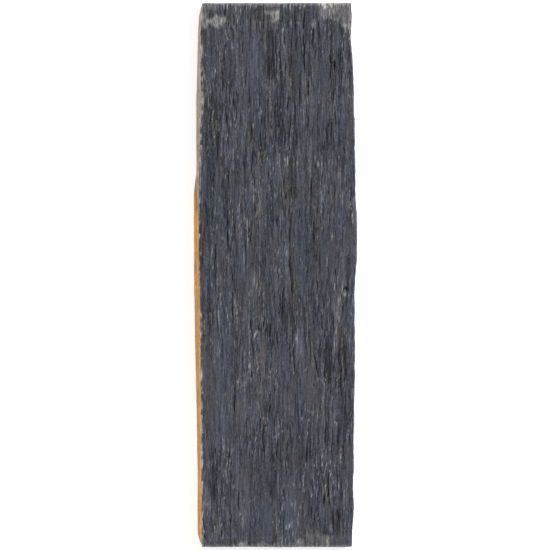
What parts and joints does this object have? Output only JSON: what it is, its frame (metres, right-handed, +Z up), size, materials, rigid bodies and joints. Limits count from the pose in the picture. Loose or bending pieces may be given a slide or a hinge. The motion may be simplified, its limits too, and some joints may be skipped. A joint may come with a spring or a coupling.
{
  "type": "slate slab",
  "caption": "Long riven slate slab with sawn ends, for edging, palisades or landscaping.",
  "frame": {"origin": "middle of the ground under the slab, on the flat cleavage plane of its back", "axes": "+Z up, out of the riven front face; +Y along the slab, from its foot to its head; +X across it, towards the broken right side"},
  "size_m": [0.2996, 1, 0.039],
  "materials": {
    "slate": "riven blue-grey slate, matt, with an ochre stained natural joint along the left side"
  },
  "bodies": {
    "root": {"slate_slab": "slate"}
  },
  "joints": []
}
